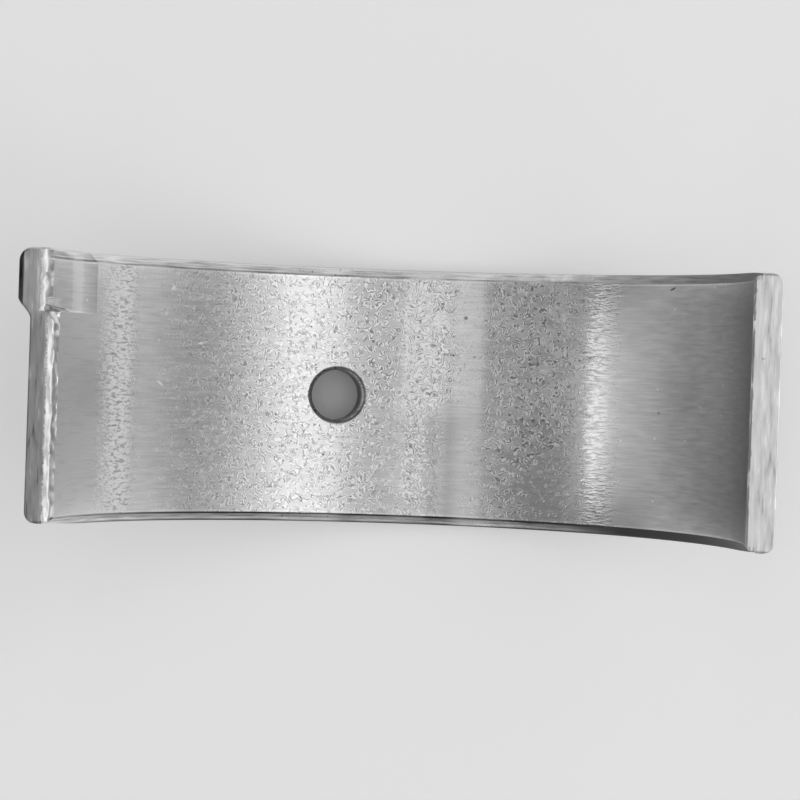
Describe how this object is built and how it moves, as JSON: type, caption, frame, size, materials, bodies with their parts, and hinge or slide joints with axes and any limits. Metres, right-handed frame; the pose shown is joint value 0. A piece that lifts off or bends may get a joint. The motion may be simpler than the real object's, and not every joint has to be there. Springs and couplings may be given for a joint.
{
  "type": "engine bearing shell",
  "caption": "Half shell of a plain engine bearing: a thin half-round steel strip with a lined bore, a pressed locating tang at one parting face and a countersunk oil hole.",
  "frame": {"origin": "on the bearing axis, in the parting plane, at the middle of the shell's width", "axes": "+Y along the bearing axis towards the end with the tang, +X across the parting faces and away from the tang, +Z out of the open bore"},
  "size_m": [0.055, 0.0204, 0.027],
  "materials": {
    "shell_metal": "fine-bored satin lining with worn, speckled bands, on a plain steel back"
  },
  "bodies": {
    "root": {"bearing_shell": "shell_metal"}
  },
  "joints": []
}
